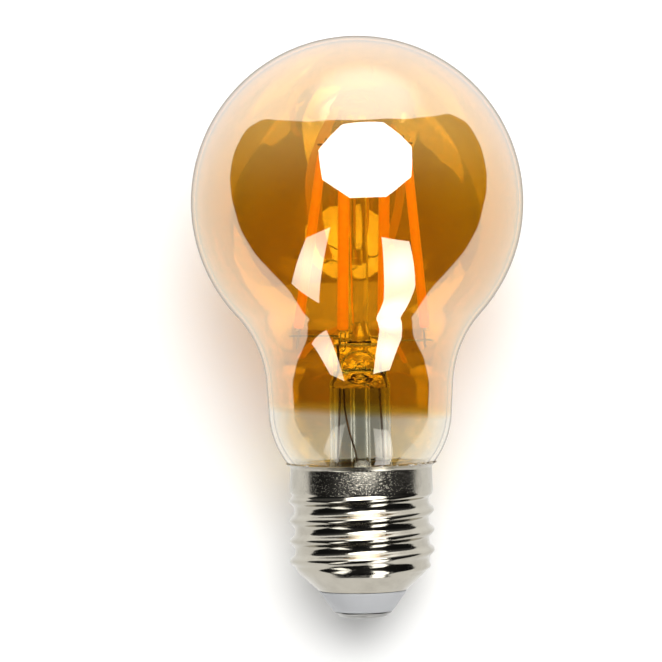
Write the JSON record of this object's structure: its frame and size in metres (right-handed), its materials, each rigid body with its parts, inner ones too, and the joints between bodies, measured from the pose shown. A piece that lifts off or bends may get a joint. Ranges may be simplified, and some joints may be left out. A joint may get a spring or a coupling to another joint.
{
  "type": "filament light bulb",
  "caption": "Gold-tinted pear-shaped LED filament bulb with a clear neck, upright filaments on a glass stem and a nickel screw cap.",
  "frame": {"origin": "centre of the flat face of the centre contact, the lowest point of the lamp", "axes": "+Z along the lamp axis from the contact to the crown, +X across the two leads in the press, to the right as seen from the front (-Y)"},
  "size_m": [0.06, 0.06, 0.105],
  "materials": {
    "amber_glass": "clear blown glass with a thin semi-mirror gold coating outside",
    "clear_glass": "clear, fire-polished",
    "strip_ceramic": "satin",
    "emitter_chip": "glossy",
    "phosphor_silicone": "satin, slightly translucent silicone",
    "nickel_wire": "drawn wire, satin",
    "copper_wire": "drawn copper, satin",
    "nickel_plate": "bright nickel plate on pressed sheet",
    "contact_metal": "tinned, satin",
    "insulator_plastic": "satin",
    "cement": "rough cured cement",
    "circuit_board": "solder mask, satin",
    "capacitor_sleeve": "glossy shrink sleeve",
    "ferrite": "matt",
    "resistor_lacquer": "satin lacquer",
    "chip_epoxy": "matt",
    "shield_steel": "satin tin plate",
    "chip_ceramic": "satin",
    "solder": "bright"
  },
  "bodies": {
    "root": {"glass_envelope": "amber_glass", "stem_flare": "clear_glass", "stem_press": "clear_glass", "exhaust_tube": "clear_glass", "pillar_rod": "clear_glass", "pillar_button": "clear_glass", "outer_lead_left": "copper_wire", "outer_lead_right": "copper_wire", "seal_wire_left": "copper_wire", "seal_wire_right": "copper_wire", "inner_lead_left": "nickel_wire", "inner_lead_right": "nickel_wire", "branch_wire_front": "nickel_wire", "branch_wire_back": "nickel_wire", "bridge_wire_sides": "nickel_wire", "bridge_wire_ends": "nickel_wire", "antenna_wire": "copper_wire", "filament_left_strip": "strip_ceramic", "filament_left_chips": "emitter_chip", "filament_left_phosphor": "phosphor_silicone", "filament_left_clips": "nickel_wire", "filament_front_strip": "strip_ceramic", "filament_front_chips": "emitter_chip", "filament_front_phosphor": "phosphor_silicone", "filament_front_clips": "nickel_wire", "filament_right_strip": "strip_ceramic", "filament_right_chips": "emitter_chip", "filament_right_phosphor": "phosphor_silicone", "filament_right_clips": "nickel_wire", "filament_back_strip": "strip_ceramic", "filament_back_chips": "emitter_chip", "filament_back_phosphor": "phosphor_silicone", "filament_back_clips": "nickel_wire", "cap_shell": "nickel_plate", "cap_insulator": "insulator_plastic", "centre_contact": "contact_metal", "cap_cement": "cement", "driver_board": "circuit_board", "bulk_capacitor": "capacitor_sleeve", "power_inductor": "ferrite", "fusible_resistor": "resistor_lacquer", "bridge_rectifier": "chip_epoxy", "driver_chip": "chip_epoxy", "radio_module": "circuit_board", "radio_shield": "shield_steel", "chip_passives": "chip_ceramic", "solder_joints": "solder", "shell_lead": "copper_wire", "contact_lead": "copper_wire"}
  },
  "joints": []
}
